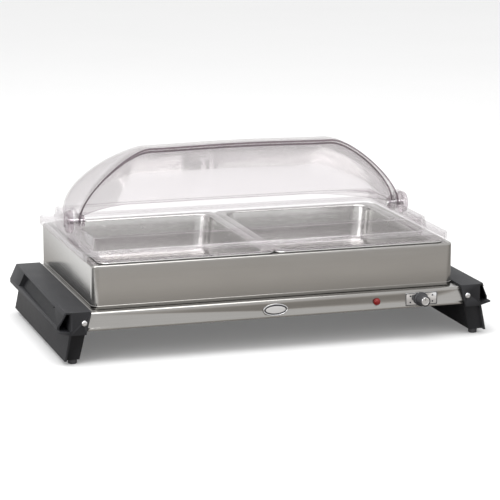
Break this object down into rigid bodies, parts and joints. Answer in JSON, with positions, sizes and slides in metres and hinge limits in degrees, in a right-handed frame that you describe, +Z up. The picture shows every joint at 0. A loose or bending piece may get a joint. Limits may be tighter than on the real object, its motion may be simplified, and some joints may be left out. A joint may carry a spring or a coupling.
{
  "type": "countertop steam table",
  "caption": "Countertop heated buffet server: stainless tray on two black moulded legs, pan deck with half-size pans, and a clear roll-top lid.",
  "frame": {"origin": "under the middle of the whole unit, on the surface that the feet stand on", "axes": "+X to the right seen from the front, +Y to the back, +Z up"},
  "size_m": [0.6598, 0.3732, 0.279],
  "materials": {
    "brushed_stainless": "brushed",
    "pan_stainless": "satin",
    "bright_steel": "polished",
    "foot_rubber": "matte",
    "textured_black_plastic": "fine leather-like grain",
    "dark_plastic": "satin",
    "clear_polycarbonate": "clear, glossy",
    "red_lens": "gloss",
    "element_steel": "dull",
    "aluminium_plate": "mill finish",
    "blanket_fibre": "fibrous",
    "white_enamel": "gloss",
    "ceramic": "matte",
    "brass": "satin",
    "wire_sleeve": "braided sleeve"
  },
  "bodies": {
    "base": {"badge_face": "white_enamel", "badge_inlay": "dark_plastic", "badge_ring": "bright_steel", "bottom_cover": "brushed_stainless", "bracket_bolt_back_left": "bright_steel", "bracket_bolt_back_right": "bright_steel", "bracket_bolt_front_left": "bright_steel", "bracket_bolt_front_right": "bright_steel", "control_plate": "bright_steel", "cord_gland": "dark_plastic", "cover_screw_back_left": "bright_steel", "cover_screw_back_right": "bright_steel", "cover_screw_front_left": "bright_steel", "cover_screw_front_right": "bright_steel", "element_clamp_left": "aluminium_plate", "element_clamp_right": "aluminium_plate", "foot_back_left": "foot_rubber", "foot_back_right": "foot_rubber", "foot_front_left": "foot_rubber", "foot_front_right": "foot_rubber", "heat_spreader_plate": "aluminium_plate", "heating_element": "element_steel", "insulation_blanket": "blanket_fibre", "left_leg": "textured_black_plastic", "left_leg_bracket": "element_steel", "leg_screw_back_left": "bright_steel", "leg_screw_back_right": "bright_steel", "leg_screw_front_left": "bright_steel", "leg_screw_front_right": "bright_steel", "pilot_lamp_body": "dark_plastic", "pilot_lamp_lens": "red_lens", "right_leg": "textured_black_plastic", "right_leg_bracket": "element_steel", "sensor_bulb": "brass", "terminal_block": "ceramic", "thermal_fuse": "ceramic", "thermostat_body": "ceramic", "thermostat_nut": "brass", "tray_shell": "brushed_stainless", "wiring_loom": "wire_sleeve"},
    "knob": {"control_knob": "dark_plastic", "knob_cap": "bright_steel", "thermostat_shaft": "bright_steel"},
    "deck": {"deck_shell": "brushed_stainless", "deck_divider": "brushed_stainless"},
    "pan_left": {"left_pan": "pan_stainless"},
    "pan_right": {"right_pan": "pan_stainless"},
    "lid": {"lid_base": "clear_polycarbonate", "rear_dome": "clear_polycarbonate", "hub_knob_left": "clear_polycarbonate", "hub_knob_right": "clear_polycarbonate", "pivot_pin_left": "bright_steel", "pivot_pin_right": "bright_steel", "pin_clip_left": "clear_polycarbonate", "pin_clip_right": "clear_polycarbonate"},
    "cover": {"roll_cover": "clear_polycarbonate"}
  },
  "joints": [
    {"name": "knob_turn", "type": "hinge", "parent": "base", "child": "knob", "pos_m": [0.219, -0.16585, 0.0602], "axis": [0, 1, 0], "range_deg": [0, 270]},
    {"name": "deck_lift", "type": "slide", "parent": "base", "child": "deck", "axis": [0, 0, 1], "range_m": [0, 0.06]},
    {"name": "lid_lift", "type": "slide", "parent": "deck", "child": "lid", "axis": [0, 0, 1], "range_m": [0, 0.17]},
    {"name": "pan_left_lift", "type": "slide", "parent": "deck", "child": "pan_left", "axis": [0, 0, 1], "range_m": [0, 0.085]},
    {"name": "pan_right_lift", "type": "slide", "parent": "deck", "child": "pan_right", "axis": [0, 0, 1], "range_m": [0, 0.085]},
    {"name": "cover_roll", "type": "hinge", "parent": "lid", "child": "cover", "pos_m": [-0.005, 0.02115, 0.17], "axis": [1, 0, 0], "range_deg": [0, 84]}
  ],
  "couplings": [
    {"joint": "pan_left_lift", "follows": "lid_lift", "ratio": 0.5},
    {"joint": "pan_right_lift", "follows": "lid_lift", "ratio": 0.5}
  ]
}
